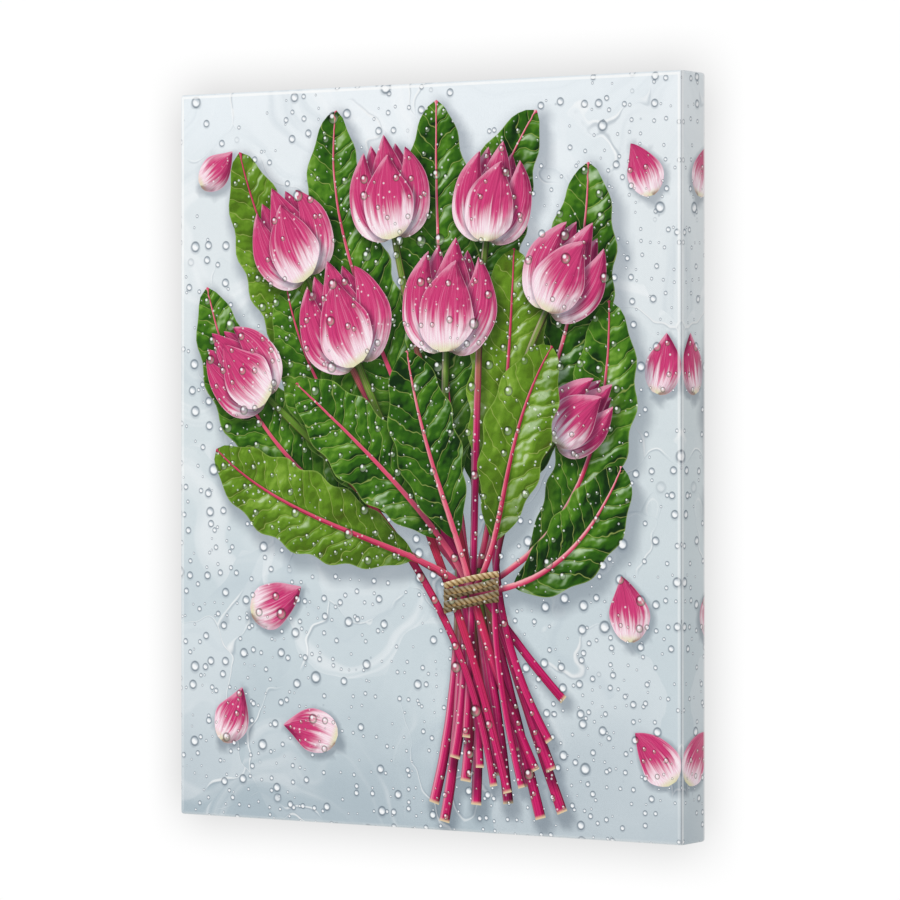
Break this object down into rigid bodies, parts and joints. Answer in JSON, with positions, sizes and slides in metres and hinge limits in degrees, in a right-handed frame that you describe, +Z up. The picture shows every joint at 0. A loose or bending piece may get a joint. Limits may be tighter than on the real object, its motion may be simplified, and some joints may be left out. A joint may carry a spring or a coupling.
{
  "type": "stretched canvas print",
  "caption": "Gallery-wrapped canvas print: printed canvas stretched over a mitred pine frame, folded and stapled at the back, with corner keys, a sawtooth hanger and wall bumpers.",
  "frame": {"origin": "the middle notch of the sawtooth hanger, where it rests on a nail in the wall", "axes": "+Z up, +Y towards the wall, so the print faces -Y and +X is to the right of a viewer in front"},
  "size_m": [0.4064, 0.0355, 0.508],
  "materials": {
    "print": "matte ink on primed cotton canvas",
    "pine": "planed, unfinished pine",
    "key_wood": "sawn hardwood",
    "staple_steel": "galvanised wire",
    "hanger_zinc": "zinc-plated steel sheet",
    "bumper_rubber": "matte"
  },
  "bodies": {
    "root": {"bar_bottom": "pine", "bar_left": "pine", "bar_right": "pine", "bar_top": "pine", "bumper_left": "bumper_rubber", "bumper_right": "bumper_rubber", "canvas": "print", "hanger_nail_left": "staple_steel", "hanger_nail_right": "staple_steel", "hanger_plate": "hanger_zinc", "key_bottom_a": "key_wood", "key_bottom_b": "key_wood", "key_left_a": "key_wood", "key_left_b": "key_wood", "key_right_a": "key_wood", "key_right_b": "key_wood", "key_top_a": "key_wood", "key_top_b": "key_wood", "staple_bottom_1": "staple_steel", "staple_bottom_2": "staple_steel", "staple_bottom_3": "staple_steel", "staple_bottom_4": "staple_steel", "staple_bottom_5": "staple_steel", "staple_bottom_6": "staple_steel", "staple_bottom_7": "staple_steel", "staple_left_1": "staple_steel", "staple_left_2": "staple_steel", "staple_left_3": "staple_steel", "staple_left_4": "staple_steel", "staple_left_5": "staple_steel", "staple_left_6": "staple_steel", "staple_left_7": "staple_steel", "staple_left_8": "staple_steel", "staple_left_9": "staple_steel", "staple_right_1": "staple_steel", "staple_right_2": "staple_steel", "staple_right_3": "staple_steel", "staple_right_4": "staple_steel", "staple_right_5": "staple_steel", "staple_right_6": "staple_steel", "staple_right_7": "staple_steel", "staple_right_8": "staple_steel", "staple_right_9": "staple_steel", "staple_top_1": "staple_steel", "staple_top_2": "staple_steel", "staple_top_3": "staple_steel", "staple_top_4": "staple_steel", "staple_top_5": "staple_steel", "staple_top_6": "staple_steel", "staple_top_7": "staple_steel"}
  },
  "joints": []
}
